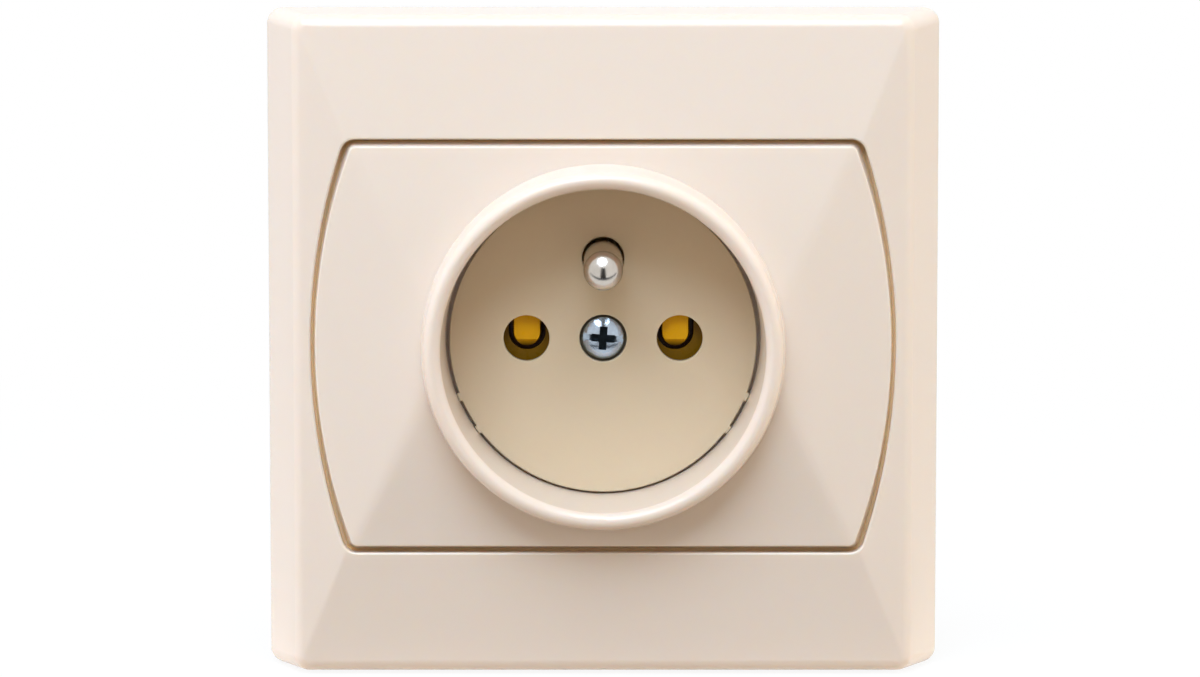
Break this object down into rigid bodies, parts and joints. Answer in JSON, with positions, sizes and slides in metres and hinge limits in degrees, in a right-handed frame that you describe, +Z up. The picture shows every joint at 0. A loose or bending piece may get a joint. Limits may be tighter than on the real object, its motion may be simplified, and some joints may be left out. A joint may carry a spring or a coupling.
{
  "type": "wall socket",
  "caption": "Flush mains wall socket with a square sloped frame, bowed cover plate, round plug recess, earth pin, sprung pin shutter, brass contacts and spreading claws.",
  "frame": {"origin": "centre of the socket on the wall plane, midway between the box-screw slots", "axes": "+X to the right and +Z up as seen from the room, +Y into the wall, so the front faces -Y"},
  "size_m": [0.083, 0.0395, 0.082],
  "materials": {
    "cream_plastic": "glossy moulded cream",
    "floor_plastic": "satin moulded cream",
    "amber_plastic": "glossy amber",
    "base_plastic": "matte moulded light grey",
    "zinc_steel": "zinc plated",
    "nickel_pin": "nickel plated, polished",
    "spring_steel": "bright drawn",
    "brass": "bright brass"
  },
  "bodies": {
    "socket": {"outer_frame": "cream_plastic", "cover_plate": "cream_plastic", "socket_insert": "floor_plastic", "centre_screw": "zinc_steel", "centre_nut": "brass", "earth_pin": "nickel_pin", "shutter_spring_left": "spring_steel", "shutter_spring_right": "spring_steel", "contact_base": "base_plastic", "line_contact": "brass", "neutral_contact": "brass", "earth_strip": "brass", "line_clamp": "zinc_steel", "neutral_clamp": "zinc_steel", "earth_clamp": "zinc_steel", "terminal_screws": "zinc_steel", "mounting_strap": "zinc_steel", "strap_rivets": "brass", "claw_pins": "spring_steel", "claw_screws": "zinc_steel", "claw_nuts": "zinc_steel"},
    "shutter": {"shutter": "amber_plastic"},
    "claw_left": {"claw_left": "zinc_steel"},
    "claw_right": {"claw_right": "zinc_steel"}
  },
  "joints": [
    {"name": "shutter_slide", "type": "slide", "parent": "socket", "child": "shutter", "axis": [0, 0, 1], "range_m": [0, 0.0057], "stiffness_N_per_m": 110, "springref_m": -0.003, "deforming": ["shutter_spring_left", "shutter_spring_right"]},
    {"name": "claw_left_swing", "type": "hinge", "parent": "socket", "child": "claw_left", "pos_m": [-0.0236, 0.0045, 0], "axis": [0, 0, 1], "range_deg": [0, 22]},
    {"name": "claw_right_swing", "type": "hinge", "parent": "socket", "child": "claw_right", "pos_m": [0.0236, 0.0045, 0], "axis": [0, 0, -1], "range_deg": [0, 22]}
  ]
}
